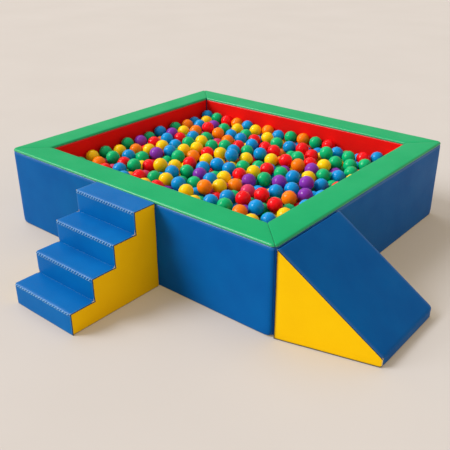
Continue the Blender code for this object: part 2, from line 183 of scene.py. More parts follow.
def add_piece(name, parts, material, body, replaces=(), thickness=0.0):
    """Makes one object of the parts, rides it on its body and hides the solids that it stands for.
    """
    whole = joined(parts)
    points, faces = whole.pop("points"), whole.pop("faces")
    mesh = bpy.data.meshes.new(name)
    mesh.from_pydata(points.tolist(), [], faces.tolist())
    mesh.polygons.foreach_set("use_smooth", np.ones(len(faces), dtype=bool))
    uv = whole.pop("uv")[faces.ravel()]
    mesh.uv_layers.new(name="cloth").data.foreach_set("uv", uv.astype("f").ravel())
    nearness = np.clip(1 - whole.pop("distance") / edge_reach, 0, 1)
    for label, values in {"edge": nearness, **whole}.items():
        mesh.attributes.new(label, "FLOAT", "POINT").data.foreach_set("value", values.astype("f"))
    mesh.materials.append(material)
    mesh.update()
    mesh.set_sharp_from_angle(angle=crease_angle)
    piece = bpy.data.objects.new(name, mesh)
    bpy.context.scene.collection.objects.link(piece)
    if thickness:
        shell = piece.modifiers.new("cloth thickness", "SOLIDIFY")
        shell.thickness = thickness
        shell.offset = -1
    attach(piece, body)
    if replaces:
        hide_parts(*replaces)
    print(name, "has", len(points), "points and", len(faces), "faces")


def add_panel(name, parts, material, body, node):
    """A panel of a sewn cover: cloth that lies tight on its foam, in place of one solid."""
    add_piece(name, parts, material, body, [node], cloth_thickness)


# %% Paths with rounded corners
def rounded_path(corners, radii, step, turn_step=15):
    """Points and outward normals along a line whose corners are rounded.

    An arc starts radius x tan(turn / 2) before its corner. Outward is to the left of the way. A
    corner of radius 0 stays sharp, and its normal is the middle one, longer by 1 / cos(turn / 2)."""
    corners = np.array(corners, dtype=float)
    ways = np.diff(corners, axis=0)
    ways /= np.linalg.norm(ways, axis=1)[:, None]
    points = []
    normals = []
    begin = corners[0]
    for index, way in enumerate(ways):
        left = np.array((-way[1], way[0]))
        last = index + 1 == len(ways)
        after = way if last else ways[index + 1]
        turn = np.arctan2(way[0] * after[1] - way[1] * after[0], way @ after)
        radius = 0 if last else radii[index]
        reach = radius * abs(np.tan(turn / 2))
        end = corners[index + 1] - way * reach
        count = max(1, round(np.linalg.norm(end - begin) / step))
        share = np.linspace(0, 1, count + 1)[bool(index):, None]
        points.append(begin + (end - begin) * share)
        normals.append(np.tile(left, (len(share), 1)))
        if reach:
            centre = end + np.sign(turn) * radius * left
            bend = np.linspace(0, turn, int(np.ceil(abs(np.degrees(turn)) / turn_step)) + 1)[1:]
            turned = np.array(((np.cos(bend), -np.sin(bend)), (np.sin(bend), np.cos(bend))))
            points.append(centre + np.einsum("ijk,j->ki", turned, end - centre))
            normals.append(np.einsum("ijk,j->ki", turned, left))
        elif not last:
            middle = left + np.array((-after[1], after[0]))
            normals[-1][-1] = middle / (middle @ left)
        begin = corners[index + 1] + after * reach
    return np.concatenate(points), np.concatenate(normals)


def with_rows(points, normals, extra):
    """Adds rows at some distances from both ends of a path, and returns each row's distance too."""
    run = np.r_[0, np.cumsum(np.linalg.norm(np.diff(points, axis=0), axis=1))]
    rows = np.unique(np.round(np.r_[run, extra, run[-1] - extra], 6))
    rows = rows[np.r_[True, np.diff(rows) > 0.00005]]
    rows[-1] = run[-1]
    points = np.column_stack([np.interp(rows, run, values) for values in points.T])
    normals = np.column_stack([np.interp(rows, run, values) for values in normals.T])
    return points, normals, rows


# %% Rolls, crowns and unevenness
ripple_height = 0.0005


def roll(distance, width, depth):
    """How far a panel's edge turns in: a quarter ellipse from depth at the edge to 0 at width."""
    share = 1 - np.clip(distance / width, 0, 1)
    return depth * (1 - np.sqrt(np.clip(1 - share ** 2, 0, 1)))


def crown(distance, width, depth):
    """How far a padded face falls off towards its edge: depth x (1 - distance / width) squared."""
    return depth * (1 - np.clip(distance / width, 0, 1)) ** 2


def ripple(along, over, wavelength, seed, waves=7):
    """Smooth unevenness from 0 to about 1: the mean of sine waves in seeded directions."""
    chance = np.random.default_rng(seed)
    heading = chance.uniform(0, 2 * np.pi, waves)
    pace = 2 * np.pi / (wavelength * chance.uniform(0.6, 1.7, waves))
    phase = chance.uniform(0, 2 * np.pi, waves)
    along, over = np.broadcast_arrays(along, over)
    total = np.zeros(along.shape)
    for angle, rate, start in zip(heading, pace, phase):
        total += np.sin((along * np.cos(angle) + over * np.sin(angle)) * rate + start)
    return 0.5 + total / waves


def pucker(along, distance, seed, depth=0.00045, pitch=0.032, fade=0.013):
    """Small gathers beside a seam: waves along it, pitch apart, that fade with distance from it."""
    wander = ripple(along, 0 * along, 0.25, seed) * 5
    wave = 0.5 + 0.5 * np.sin(2 * np.pi * along / pitch + wander)
    return depth * wave * np.exp(-distance / fade)


roll_width = 0.003
edge_rows = roll_width * (1 - np.sin(np.radians((90, 75, 60, 45, 30, 15, 0))))
edge_rows = np.r_[edge_rows, 0.0045, 0.0065, 0.009, 0.013, 0.018]
print("rows that every edge gets, in mm:", np.round(edge_rows * 1000, 2))


# %% Places round the pit
def place(points, turn, shift):
    """Moves points by shift in plan, then turns them about +Z by quarter turns."""
    x = points[..., 0] + shift[0]
    y = points[..., 1] + shift[1]
    cos, sin = ((1, 0), (0, 1), (-1, 0), (0, -1))[turn]
    return np.stack((x * cos - y * sin, x * sin + y * cos, points[..., 2]), axis=-1)


def placed(made, turn, shift, core):
    """A part of (surface, edge distance, cloth coordinates[, faces to keep]) in its place.

    Its faces look away from the core, a point inside the block."""
    surface, edge, uv, *keep = made
    return part(place(surface, turn, shift), edge, uv, *keep, centre=place(np.array(core), turn, shift))


# %% [markdown]
# ## Finishes
#
# The covers are PVC-coated cloth: a fine pebbled grain, a low sheen and slow changes of tone. A painted
# shade darkens each seam and a painted highlight lies on the roll beside it. A flat colour would look like
# card, and a picture of cloth would repeat. Here each effect is a node group with named sockets, built
# once and placed in every material with its own values, and the shader itself stays in the material.


# %% Node helpers
class Nodes:
    """Adds nodes to one tree and links or sets their sockets. Plain colours come without alpha."""

    def __init__(self, tree):
        self.tree = tree

    def add(self, kind, sockets=None, **settings):
        """One node with its settings, its sockets linked to other nodes' or set to values."""
        node = self.tree.nodes.new(kind)
        for key, value in settings.items():
            setattr(node, key, value)
        for key, value in (sockets or {}).items():
            socket = node.inputs[key]
            if isinstance(value, bpy.types.NodeSocket):
                self.tree.links.new(value, socket)
            else:
                socket.default_value = (*value, 1) if socket.type == "RGBA" else value
        return node

    def math(self, operation, *values):
        """A sum, a product or the like."""
        return self.add("ShaderNodeMath", dict(enumerate(values)), operation=operation).outputs[0]

    def mix(self, factor, first, second, blend_type="MIX"):
        """The first colour where the factor is 0, and the second where it is 1."""
        return self.add("ShaderNodeMix", {"Factor": factor, 6: first, 7: second},
                        data_type="RGBA", blend_type=blend_type).outputs[2]

    def ranged(self, value, start, end, low=0.0, high=1.0, kind="LINEAR"):
        """Carries a value from the range start to end over to low to high, and holds it at both ends."""
        return self.add("ShaderNodeMapRange", {
            "Value": value, "From Min": start, "From Max": end, "To Min": low, "To Max": high,
        }, interpolation_type=kind).outputs[0]

    def noise(self, place, scale, detail):
        """Smooth noise that follows a place."""
        return self.add("ShaderNodeTexNoise", {"Vector": place, "Scale": scale, "Detail": detail}).outputs[0]

    def attribute(self, name):
        """A value that the pieces keep for each of their points."""
        return self.add("ShaderNodeAttribute", attribute_name=name).outputs["Fac"]


# %% Groups and materials
def new_group(name, inputs, outputs):
    """Starts a node group: inputs are (name, kind, value), outputs (name, kind)."""
    tree = bpy.data.node_groups.new(name, "ShaderNodeTree")
    for label, kind, value in inputs:
        socket = tree.interface.new_socket(label, in_out="INPUT", socket_type="NodeSocket" + kind)
        if value is not None:
            socket.default_value = value
    for label, kind in outputs:
        tree.interface.new_socket(label, in_out="OUTPUT", socket_type="NodeSocket" + kind)
    nodes = Nodes(tree)
    return nodes, nodes.add("NodeGroupInput").outputs


def new_material(name):
    """An empty material, its nodes, and the Object coordinates that its patterns follow."""
    material = bpy.data.materials.new(name)
    material.use_nodes = True
    material.node_tree.nodes.clear()
    nodes = Nodes(material.node_tree)
    return material, nodes, nodes.add("ShaderNodeTexCoord").outputs["Object"]


def finish_material(material, nodes, sockets):
    """Ends a material in its shader and output."""
    shader = nodes.add("ShaderNodeBsdfPrincipled", sockets)
    nodes.add("ShaderNodeOutputMaterial", {"Surface": shader.outputs[0]})
    return material


# %% Grain, for every cloth
grain, given = new_group(
    "pebble grain", [("Place", "Vector", None), ("Pebble", "Float", 0.0012)],
    [("Height", "Float"), ("Patches", "Float")])
per_metre = grain.math("DIVIDE", 1.0, given["Pebble"])
pebbles = grain.add("ShaderNodeTexVoronoi", {
    "Vector": given["Place"], "Scale": per_metre, "Smoothness": 0.5}, feature="SMOOTH_F1")
grain.add("NodeGroupOutput", {
    "Height": pebbles.outputs["Distance"], "Patches": grain.noise(given["Place"], 7.0, 3.0)})

# %% Painted shade in the seams and a painted highlight beside them, for every sewn panel
white = (1, 1, 1, 1)
seam_shade_and_highlight, given = new_group(
    "painted seam shade and highlight",
    [("Colour", "Color", white), ("Nearness", "Float", 0), ("Line", "Float", 0.0022),
     ("Shade", "Float", 0.75), ("Pale", "Float", 0.10), ("Pale colour", "Color", white)],
    [("Colour", "Color")])
away = seam_shade_and_highlight.math("SUBTRACT", 1.0, given["Nearness"])
away = seam_shade_and_highlight.math("MULTIPLY", away, edge_reach)
highlight_end = seam_shade_and_highlight.math("MULTIPLY", given["Line"], 2.6)
# Painted shade: the colour darkens within Line of a panel's edge, where the seam's groove lies in shade.
dark = seam_shade_and_highlight.ranged(away, 0.0, given["Line"], given["Shade"], 0.0, "SMOOTHSTEP")
# Painted highlight: a paler band that peaks at Line from the edge and fades out by 2.6 x Line, standing in
# for the lamps' highlight on the seam's roll.
rise = seam_shade_and_highlight.ranged(away, 0.0, given["Line"], 0.0, given["Pale"], "SMOOTHSTEP")
fall = seam_shade_and_highlight.ranged(away, given["Line"], highlight_end, 1.0, 0.0, "SMOOTHSTEP")
mixed = seam_shade_and_highlight.mix(dark, given["Colour"], (0, 0, 0))
mixed = seam_shade_and_highlight.mix(seam_shade_and_highlight.math("MULTIPLY", rise, fall), mixed, given["Pale colour"])
seam_shade_and_highlight.add("NodeGroupOutput", {"Colour": mixed})

# %% Settled dust, for what faces up
dust, given = new_group(
    "settled dust",
    [("Colour", "Color", white), ("Place", "Vector", None), ("Amount", "Float", 0.004)],
    [("Colour", "Color")])
normal = dust.add("ShaderNodeNewGeometry").outputs["Normal"]
facing = dust.ranged(dust.add("ShaderNodeSeparateXYZ", {0: normal}).outputs["Z"], 0.5, 1.0)
amount = dust.math("MULTIPLY", facing, dust.noise(given["Place"], 23.0, 5.0))
amount = dust.math("MULTIPLY", amount, given["Amount"])
dust.add("NodeGroupOutput", {"Colour": dust.mix(amount, given["Colour"], (0.8, 0.78, 0.74))})
print("groups:", ", ".join(bpy.data.node_groups.keys()))


# %% The four vinyls
def vinyl(name, colour, deep, shade, line, pale, highlight_colour, tight=(0.60, 0.85)):
    """PVC-coated cloth: slow patches between two tones, painted shade in the seams, a painted highlight on
    the rolls beside them, dust and a pebbled bump.

    Where the cloth is stretched over an edge it is smoother, so there it has a thin coat: its weight
    is the larger of `polish` and a step in the nearness to the edge."""
    material, nodes, spot = new_material(name)
    texture = nodes.add("ShaderNodeGroup", {"Place": spot}, node_tree=grain.tree).outputs
    near = nodes.attribute("edge")
    base = nodes.mix(nodes.ranged(texture["Patches"], 0.3, 0.7), colour, deep)
    # Shade sets the painted shade in each seam; pale and its colour set the painted highlight on the roll
    # beside it.
    edged = nodes.add("ShaderNodeGroup", {
        "Colour": base, "Nearness": near, "Line": line, "Shade": shade, "Pale": pale,
        "Pale colour": highlight_colour}, node_tree=seam_shade_and_highlight.tree).outputs[0]
    dusted = nodes.add("ShaderNodeGroup", {"Colour": edged, "Place": spot}, node_tree=dust.tree).outputs[0]
    bump = nodes.add("ShaderNodeBump", {
        "Height": texture["Height"], "Strength": 0.35, "Distance": 0.0003}).outputs[0]
    stretched = nodes.ranged(near, *tight, 0.0, 0.5, "SMOOTHSTEP")
    return finish_material(material, nodes, {
        "Base Color": dusted, "Roughness": nodes.ranged(texture["Patches"], 0.3, 0.7, 0.32, 0.41),
        "Normal": bump, "Specular IOR Level": 0.04,
        "Coat Weight": nodes.math("MAXIMUM", stretched, nodes.attribute("polish")), "Coat Roughness": 0.25})


# The steps and the mat have the first blue. The walls and the ramp have the second, a darker copy of the same
# blue: painted shade, so that their shaded faces come out darker.
blue_vinyl = vinyl(
    "blue vinyl", (0.001, 0.138, 0.430), (0.001, 0.116, 0.385),
    shade=0.90, line=0.0034, pale=0.05, highlight_colour=(0.20, 0.50, 0.85))
shade_darkened_vinyl = vinyl(
    "shade-darkened blue vinyl", (0.001, 0.114, 0.375), (0.001, 0.094, 0.335),
    shade=0.90, line=0.0030, pale=0.08, highlight_colour=(0.06, 0.42, 0.85), tight=(0.20, 0.60))
green_vinyl = vinyl(
    "green vinyl", (0.008, 0.365, 0.130), (0.006, 0.340, 0.118),
    shade=0.90, line=0.0020, pale=0.28, highlight_colour=(0.55, 0.92, 0.72), tight=(0.10, 0.50))
red_vinyl = vinyl(
    "red vinyl", (0.780, 0.010, 0.007), (0.720, 0.007, 0.006),
    shade=0.85, line=0.0020, pale=0.04, highlight_colour=(1.00, 0.35, 0.30))
# The yellow's strong pale band is a painted highlight along the rims of the sides of the steps and the ramp.
yellow_vinyl = vinyl(
    "yellow vinyl", (0.980, 0.595, 0.002), (0.960, 0.565, 0.002),
    shade=0.10, line=0.0011, pale=0.80, highlight_colour=(1.00, 0.86, 0.30))


# %% Foam, tapes, thread and metal
fibres, cells = "ShaderNodeTexNoise", "ShaderNodeTexVoronoi"


def plain_finish(name, colour, roughness, size, strength, depth, pattern=fibres, **sockets):
    """A finish of one tone with a fine relief: a pattern of a given size drives tone and bump."""
    material, nodes, spot = new_material(name)
    texture = nodes.add(pattern, {"Vector": spot, "Scale": 1 / size}).outputs[0]
    base = nodes.mix(texture, tuple(value * 0.7 for value in colour), colour)
    bump = nodes.add("ShaderNodeBump", {"Height": texture, "Strength": strength, "Distance": depth})
    return finish_material(material, nodes, {
        "Base Color": base, "Roughness": roughness, "Normal": bump.outputs[0], **sockets})


foam = plain_finish("open-cell foam", (0.80, 0.77, 0.62), 0.9, 0.0016, 0.8, 0.0006, cells)
non_slip = plain_finish("non-slip sheet", (0.045, 0.047, 0.052), 0.7, 0.004, 0.8, 0.0008, cells)
hook_tape = plain_finish("hook tape", (0.020, 0.020, 0.023), 0.6, 0.0011, 1.0, 0.0008, cells)
loop_tape = plain_finish("loop tape", (0.030, 0.030, 0.035), 0.95, 0.0009, 1.0, 0.0006)
zip_tape = plain_finish("zip tape", (0.022, 0.022, 0.026), 0.75, 0.0008, 0.8, 0.0003)
zip_metal = plain_finish("zip metal", (0.48, 0.48, 0.49), 0.33, 0.0030, 0.15, 0.0001, Metallic=1.0)
thread = plain_finish("blue thread", (0.26, 0.54, 0.84), 0.6, 0.0006, 0.6, 0.0002)
print("finishes:", ", ".join(bpy.data.materials.keys()))

# %% [markdown]
# ## Walls
#
# Each wall is one foam block in a cover of three panels: green on top, blue outside and below, red
# inside. The block's ends are cut at 45 degrees. A block with bevelled edges would have the outline but
# no seams, so each panel is a sheet of its own: a strip of the wall's section carried from one mitre to
# the other. Outside, it follows the pit's rounded corner: at a depth d from the outer face the corner's
# radius is the outer radius less d. All four walls come from one function.

# %% Sizes of the walls, read from the solids
half_length = box("right_wall_outer_cover")[1][0]
half_depth = -box("front_wall_outer_cover")[0][1]
seam_height, wall_height = (corner[2] for corner in box("front_wall_top_panel"))
wall_thickness = 0.14
inner_seam_height = 0.015
corner_radius = 0.025
mitre_gap = 0.0005
walls = {
    "front": (0, half_length, half_depth),
    "right": (1, half_depth, half_length),
    "back": (2, half_length, half_depth),
    "left": (3, half_depth, half_length),
}
print("pit", half_length * 2, "x", half_depth * 2, "x", wall_height, "seam at", seam_height)


# %% A panel of a wall
pull_reach = 0.035


def wall_panel(corners, radii, half_span, rolls, seed, step=0.014, mitre=(0.003, 0.003), pull=0.0):
    """One sewn panel, from mitre to mitre.

    A row is at depth d and height z of the section. Its half length is T = half span - max(r, d) +
    max(r - d, 0) x 45 degrees, and a point at a distance l from the middle lies on the straight or,
    past it, on the corner's arc. Rolls, crown, gathers and ripple push it in along its normal. The
    rolls are the widths and depths of those at the first and the last edge of the section. The pull
    rounds the block's bottom corners: it fades over its reach both ways."""
    points, normals, run = with_rows(*rounded_path(corners, radii, step), edge_rows)
    deep, high = points.T[..., None]
    lean, rise = normals.T[..., None]
    straight = half_span - np.maximum(corner_radius, deep)
    radius = np.maximum(corner_radius - deep, 0)
    reach = straight + radius * np.pi / 4 - mitre_gap
    near = reach - edge_rows
    middle = np.linspace(-1, 1, round(2 * half_span / step))[1:-1] * (reach - edge_rows[-1])
    along = np.concatenate((-near, middle, near[:, ::-1]), axis=1)
    end = reach - np.abs(along)
    turn = np.maximum(np.abs(along) - straight, 0) / np.maximum(radius, 1e-9)
    side = np.sign(along)
    x = side * (np.minimum(np.abs(along), straight) + radius * np.sin(turn))
    y = np.where(radius > 0, corner_radius - radius * np.cos(turn), deep)
    first, last = run[:, None], run[-1] - run[:, None]
    seam = np.minimum(first, last)
    push = roll(first, *rolls[0]) + roll(last, *rolls[1]) + roll(end, *mitre)
    push = push + crown(np.minimum(seam, end), 0.05, 0.0012)
    push = push + ripple_height * ripple(along, first, 0.16, seed) + pucker(along, seam, seed + 50)
    push = push + crown(end, pull_reach, pull) * crown(high, pull_reach, 1.0)
    normal = stacked(-lean * np.sin(turn) * side, lean * np.cos(turn), rise)
    surface = stacked(x, y, high) - push[..., None] * normal
    return surface, np.minimum(seam, end * 10), (along, first)


def mitre_face(half_span, side, step=0.010):
    """The flat end of a wall's cover, set in a little so that its tape stands proud.

    It loses height towards its two upright sides like a quarter circle: at a place that lies c inside
    the bend it starts at inset + bend - the root of (bend squared - c squared)."""
    inset, bend, face_inset = 0.003, 0.006, 0.0012
    y = np.linspace(0.008, wall_thickness - inset, round(wall_thickness / step))[:, None]
    share = np.linspace(0, 1, round(wall_height / step))[None, :]
    close = np.maximum(bend - np.minimum(y - y.min(), y.max() - y), 0)
    drop = inset + bend - np.sqrt(bend ** 2 - close ** 2)
    z = drop + (wall_height - 2 * drop) * share
    x = side * (half_span - y - face_inset)
    edge = np.minimum(np.minimum(z, wall_height - z), np.minimum(y - inset, wall_thickness - y))
    return stacked(x, y, z), edge, (y, z)


# %% The sections of the three panels
section_middle = (0, wall_thickness / 2, wall_height / 2)
slot_half = 0.008
slot_depth = 0.01
wall_slot_margin = 0.19
zip_low, zip_high = wall_thickness / 2 - slot_half, wall_thickness / 2 + slot_half
top_section = [(0, seam_height), (0, wall_height), (wall_thickness, wall_height),
               (wall_thickness, seam_height)]
outer_section = [(wall_thickness, inner_seam_height), (wall_thickness, 0), (zip_high, 0), (zip_low, 0),
                 (0, 0), (0, seam_height)]
inner_section = [(wall_thickness, seam_height), (wall_thickness, inner_seam_height)]

# %% The four walls
for number, (side, (turn, half_span, distance)) in enumerate(walls.items()):
    body = f"{side}_wall"
    at_wall = (turn, (0, -distance), section_middle)
    top = wall_panel(
        top_section, [0.010, 0.010], half_span, [(0.003, 0.006), (0.003, 0.004)], number, step=0.009)
    outside = wall_panel(
        outer_section, [0.008, 0, 0, 0.008], half_span, [(0.003, 0.003), (0.013, 0.0062)], number + 10,
        mitre=(0.0025, 0.002), pull=0.010)
    inside = wall_panel(inner_section, [], half_span, [(0.006, 0.004), (0.003, 0.003)], number + 20)
    x, y, z = np.moveaxis(middles(outside[0]), -1, 0)
    in_slot = (y > zip_low) & (y < zip_high) & (z < slot_depth)
    in_slot = in_slot & (np.abs(x) < half_span - wall_slot_margin)
    blue = [placed((*outside, ~in_slot), *at_wall)]
    blue += [placed(mitre_face(half_span, way), *at_wall) for way in (-1, 1)]
    add_panel(f"{body}_green_top", [placed(top, *at_wall)], green_vinyl, body,
              f"{body}_top_panel")
    # The walls' blue cover takes the darker copy of the blue, which paints in the shade of its faces.
    add_panel(f"{body}_blue_cover", blue, shade_darkened_vinyl, body, f"{body}_outer_cover")
    add_panel(f"{body}_red_lining", [placed(inside, *at_wall)], red_vinyl, body,
              f"{body}_inner_panel")

# %% [markdown]
# ## Steps
#
# The steps are a foam stair in a cover of one blue ribbon, which runs over every tread and down every
# riser, between two yellow sides. Stacked boxes would break the cloth at each step, so the ribbon is
# the stair's profile carried across its width. A side is a lattice of points under the stair's outline.
# Its corners bend round the noses: a square ring at depth m inside a nose of radius R becomes an arc of
# radius R - m.

# %% Sizes of the steps, read from the solids
steps_low, steps_high = box("steps_tread_cover")
steps_rear = box("steps_back")[1][1]
step_count = 4
step_rise = steps_high[2] / step_count
step_tread = (steps_rear - steps_low[1]) / step_count
steps_half = (steps_high[0] - steps_low[0]) / 2
steps_middle = (steps_high[0] + steps_low[0]) / 2
nose_radius = 0.005
at_steps = (0, (steps_middle, steps_rear), (0, -step_tread, step_rise / 2))
print("steps: rise", step_rise, "tread", step_tread, "half width", steps_half, "middle", steps_middle)


# %% A ribbon over a block's profile
def ribbon(corners, radii, half_width, creases, seed, step=0.009, lean=0.0, ends=0.003, round_ends=None):
    """A profile carried across a block's width, with rolled side edges.

    Creases are the places along the profile where the cloth is held down; between them the face
    rises by the crown. Lean is how far the block shifts sideways for each metre that it stands out.
    Round ends narrow the block where it stands out most, by a quarter circle on each side."""
    points, normals, run = with_rows(*rounded_path(corners, radii, step), edge_rows)
    out, high = points.T[..., None]
    away, rise = normals.T[..., None]
    middle = np.linspace(-1, 1, round(2 * half_width / step))[1:-1] * (half_width - edge_rows[-1])
    wide = np.r_[-half_width + edge_rows, middle, (half_width - edge_rows)[::-1]][None, :]
    end = half_width - np.abs(wide)
    first, last = run[:, None], run[-1] - run[:, None]
    push = roll(end, roll_width, roll_width) + crown(end, 0.04, 0.0010)
    if len(creases):
        push = push + crown(np.min(np.abs(first - creases), axis=1, keepdims=True), 0.03, 0.0012)
    if ends:
        push = push + roll(first, ends, ends) + roll(last, ends, ends)
    push = push + ripple_height * ripple(wide, first, 0.12, seed) + pucker(first, end, seed + 50, 0.0003)
    narrow = 0
    if round_ends:
        near, far = (roll(out.max() - out, radius, radius) for radius in round_ends)
        narrow = np.where(wide < 0, near, far)
    x = wide * (1 - narrow / half_width) + lean * out
    edge = np.minimum(np.minimum(first, last), end) if ends else end
    surface = stacked(x, -(out - push * away), high - push * rise)
    return surface, edge, np.broadcast_arrays(wide, first)


# %% The lattice of a block's side, and its distance to the outline
def outline_distance(out, up, outline):
    """Distance from points to a closed outline: the least over its sides, each as a short line."""
    spot = stacked(out, up)
    nearest = np.full(spot.shape[:2], 1.0)
    for start, end in zip(outline, np.roll(outline, -1, axis=0)):
        way = end - start
        if way @ way < 1e-14:
            continue
        share = np.clip((spot - start) @ way / (way @ way), 0, 1)
        nearest = np.minimum(nearest, np.linalg.norm(spot - start - share[..., None] * way, axis=-1))
    return nearest


def lattice(stops, step=0.012):
    """Lines across a side: close together beside each stop, then one every step."""
    near = np.r_[edge_rows, -edge_rows]
    lines = np.concatenate([stop + near for stop in stops])
    for start, end in zip(stops[:-1], stops[1:]):
        lines = np.r_[lines, np.linspace(start, end, round((end - start) / step) + 1)[2:-2]]
    lines = lines[(lines >= stops[0]) & (lines <= stops[-1] + 1e-9)]
    lines = np.unique(np.round(lines, 6))
    return lines[np.r_[True, np.diff(lines) > 0.0001]]


# %% The corners and edges of a block's side
side_inset = 0.0015


def rounded_corner(out, up, corner, radius):
    """Bends the lattice round one outer corner, with square rings turned into arcs."""
    near, under = corner[0] - out, corner[1] - up
    inside = (near >= -1e-9) & (under >= -1e-9) & (near < radius) & (under < radius)
    ring = np.minimum(near, under)
    bend = radius - ring
    share = (np.maximum(near, under) - ring) / np.maximum(bend, 1e-9)
    angle = np.pi / 4 * (1 - share)
    farther = np.where(near < under, np.cos(angle), np.sin(angle))
    higher = np.where(near < under, np.sin(angle), np.cos(angle))
    out = np.where(inside, corner[0] - radius + bend * farther, out)
    up = np.where(inside, corner[1] - radius + bend * higher, up)
    return out, up


def drawn_in(value, width):
    """Moves a value in by the inset: up from 0, and down wherever it is past the width."""
    return value + side_inset - 2 * side_inset * np.minimum(value / width, 1)


def side_push(out, up, distance, seed):
    """How far a yellow side is pushed in: its rolled edge, its crown and its ripple."""
    push = roll(distance, roll_width, roll_width) + crown(distance, 0.04, 0.0014)
    return push + ripple_height * ripple(out, up, 0.12, seed)


# %% The ribbon of the steps
stops = np.arange(step_count + 1)
stair = np.column_stack((
    np.repeat(step_tread * stops, 2)[1:], np.repeat(step_rise * stops[::-1], 2)[:-1]))
stair_radii = [nose_radius, 0] * step_count
bend_loss = nose_radius * (2 - np.pi / 2)
stair_creases = (step_tread + step_rise - bend_loss) * stops[1:-1]
treads = placed(ribbon(stair, stair_radii, steps_half, stair_creases, 31), *at_steps)
noses = np.array([0, *stair_creases]) + step_tread - nose_radius * (1 - np.pi / 4)
from_nose = np.min(np.abs(treads["uv"][:, 1:] - noses), axis=1)
# Feet have worn the cloth smooth on the noses.
treads["polish"] = 0.35 * np.clip(1.6 - from_nose / nose_radius, 0, 1)
add_panel("steps_blue_ribbon", [treads], blue_vinyl, "steps", "steps_tread_cover")


# %% The sides of the steps
def stair_side(way, seed):
    """The stair's side as a surface: lattice points under the outline, rolled in at its edge."""
    out = lattice(step_tread * stops)[:, None]
    up = lattice(step_rise * stops)[None, :]
    out, up = np.broadcast_arrays(out, up)
    keep = middles(up) < step_rise * (step_count - np.floor(middles(out) / step_tread))
    path, _ = rounded_path(np.vstack((stair, (0, 0), stair[0])), stair_radii + [0, 0], 0.05)
    for nose in stair[1::2]:
        out, up = rounded_corner(out, up, nose, nose_radius)
    distance = outline_distance(out, up, path)
    x = way * (steps_half - side_inset * 0.5 - side_push(out, up, distance, seed))
    out = drawn_in(out, step_tread / 2)
    up = drawn_in(up, step_rise / 2)
    return stacked(x, -out, up), distance, (out, up), keep


for side, way in (("left", -1), ("right", 1)):
    add_panel(f"steps_yellow_{side}_side", [placed(stair_side(way, 33), *at_steps)],
              yellow_vinyl, "steps", f"steps_{side}_side")


# %% Base and back of the steps
def flat_panel(origin, first_way, second_way, sizes, push_way, seed, slot=None, step=0.012, inset=0.0025):
    """A flat sewn panel: origin + a x first way + b x second way, rolled in along its push way.

    A slot is a pair of ranges, along the first way and the second, that stays open for a zip."""
    def lines(size, stops):
        """Lines across the panel, close together at its edges and clear of the stops."""
        room = size - 2 * inset
        middle = np.linspace(edge_rows[-1], room - edge_rows[-1], round(room / step))[1:-1]
        middle = middle[np.all(np.abs(middle[:, None] + inset - np.array(stops)) > 0.004, axis=1)]
        return np.sort(np.r_[inset + np.r_[edge_rows, middle, room - edge_rows[::-1]], stops])

    first_stops, second_stops = slot or ((), ())
    first, second = np.broadcast_arrays(
        lines(sizes[0], first_stops)[:, None], lines(sizes[1], second_stops)[None, :])
    keep = None
    if slot:
        spots = zip((middles(first), middles(second)), slot)
        keep = ~np.all([(spot > low) & (spot < high) for spot, (low, high) in spots], axis=0)
    edge = np.minimum(np.minimum(first, sizes[0] - first), np.minimum(second, sizes[1] - second)) - inset
    push = roll(edge, roll_width, roll_width) + 0.8 * ripple_height * ripple(first, second, 0.12, seed)
    surface = np.array(origin) + first[..., None] * np.array(first_way)
    surface = surface + second[..., None] * np.array(second_way) + push[..., None] * np.array(push_way)
    return surface, edge, (first, second), keep


steps_length = step_tread * step_count
slot_margin = 0.055
zip_slot = ((slot_margin, 2 * steps_half - slot_margin),
            (steps_length / 2 - slot_half, steps_length / 2 + slot_half))
underside = flat_panel(
    (-steps_half, 0, 0), (1, 0, 0), (0, -1, 0), (2 * steps_half, steps_length), (0, 0, 1), 35, zip_slot)
rear = flat_panel(
    (-steps_half, -0.0006, 0), (1, 0, 0), (0, 0, 1), (2 * steps_half, steps_high[2]), (0, -1, 0), 36)
add_panel("steps_underside", [placed(underside, *at_steps)], non_slip, "steps",
          "steps_base")
add_panel("steps_back_panel", [placed(rear, *at_steps)], blue_vinyl, "steps", "steps_back")


# %% [markdown]
# ## Stitching on the steps
#
# Under each nose the cover has a stitched band: two lines of thread with slanting stitches between
# them. A thinner line holds the cloth in each inner corner. A bump map could draw them, but real thread
# stands proud and catches the light, so each stitch is a small tube with six sides and tapered ends,
# and all are made at once.

# %% Threads as small tubes
def threads(starts, ends, radius):
    """Tubes from starts to ends: four rings of six points, the outer rings narrower, ends closed."""
    starts, ends = np.array(starts, dtype=float), np.array(ends, dtype=float)
    way = ends - starts
    length = np.linalg.norm(way, axis=1, keepdims=True)
    way = way / length
    helper = np.where(np.abs(way[:, 2:]) > 0.9, (1.0, 0, 0), (0, 0, 1.0))
    one = np.cross(way, helper)
    one /= np.linalg.norm(one, axis=1, keepdims=True)
    two = np.cross(way, one)
    angle = np.arange(6) * np.pi / 3
    ring = one[:, None] * np.cos(angle)[None, :, None] + two[:, None] * np.sin(angle)[None, :, None]
    taper = np.minimum(1.2 * radius / length, 0.3)[:, :, None, None]
    share = np.concatenate((0 * taper, taper, 1 - taper, 1 + 0 * taper), axis=1)
    size = radius * np.array((0.4, 1, 1, 0.4))[None, :, None, None]
    points = starts[:, None, None] + share * length[:, :, None, None] * way[:, None, None]
    points = points + ring[:, None] * size
    number = np.arange(24).reshape(4, 6)
    turned = np.roll(number, -1, axis=1)
    faces = np.stack((number[:-1], turned[:-1], turned[1:], number[1:]), axis=-1).reshape(-1, 4)
    caps = np.array(((3, 2, 1, 0), (5, 4, 3, 0), (18, 19, 20, 21), (18, 21, 22, 23)))
    faces = np.vstack((faces, caps))
    faces = faces[None] + number.size * np.arange(len(starts))[:, None, None]
    return edgeless(points.reshape(-1, 3), faces.reshape(-1, 4))


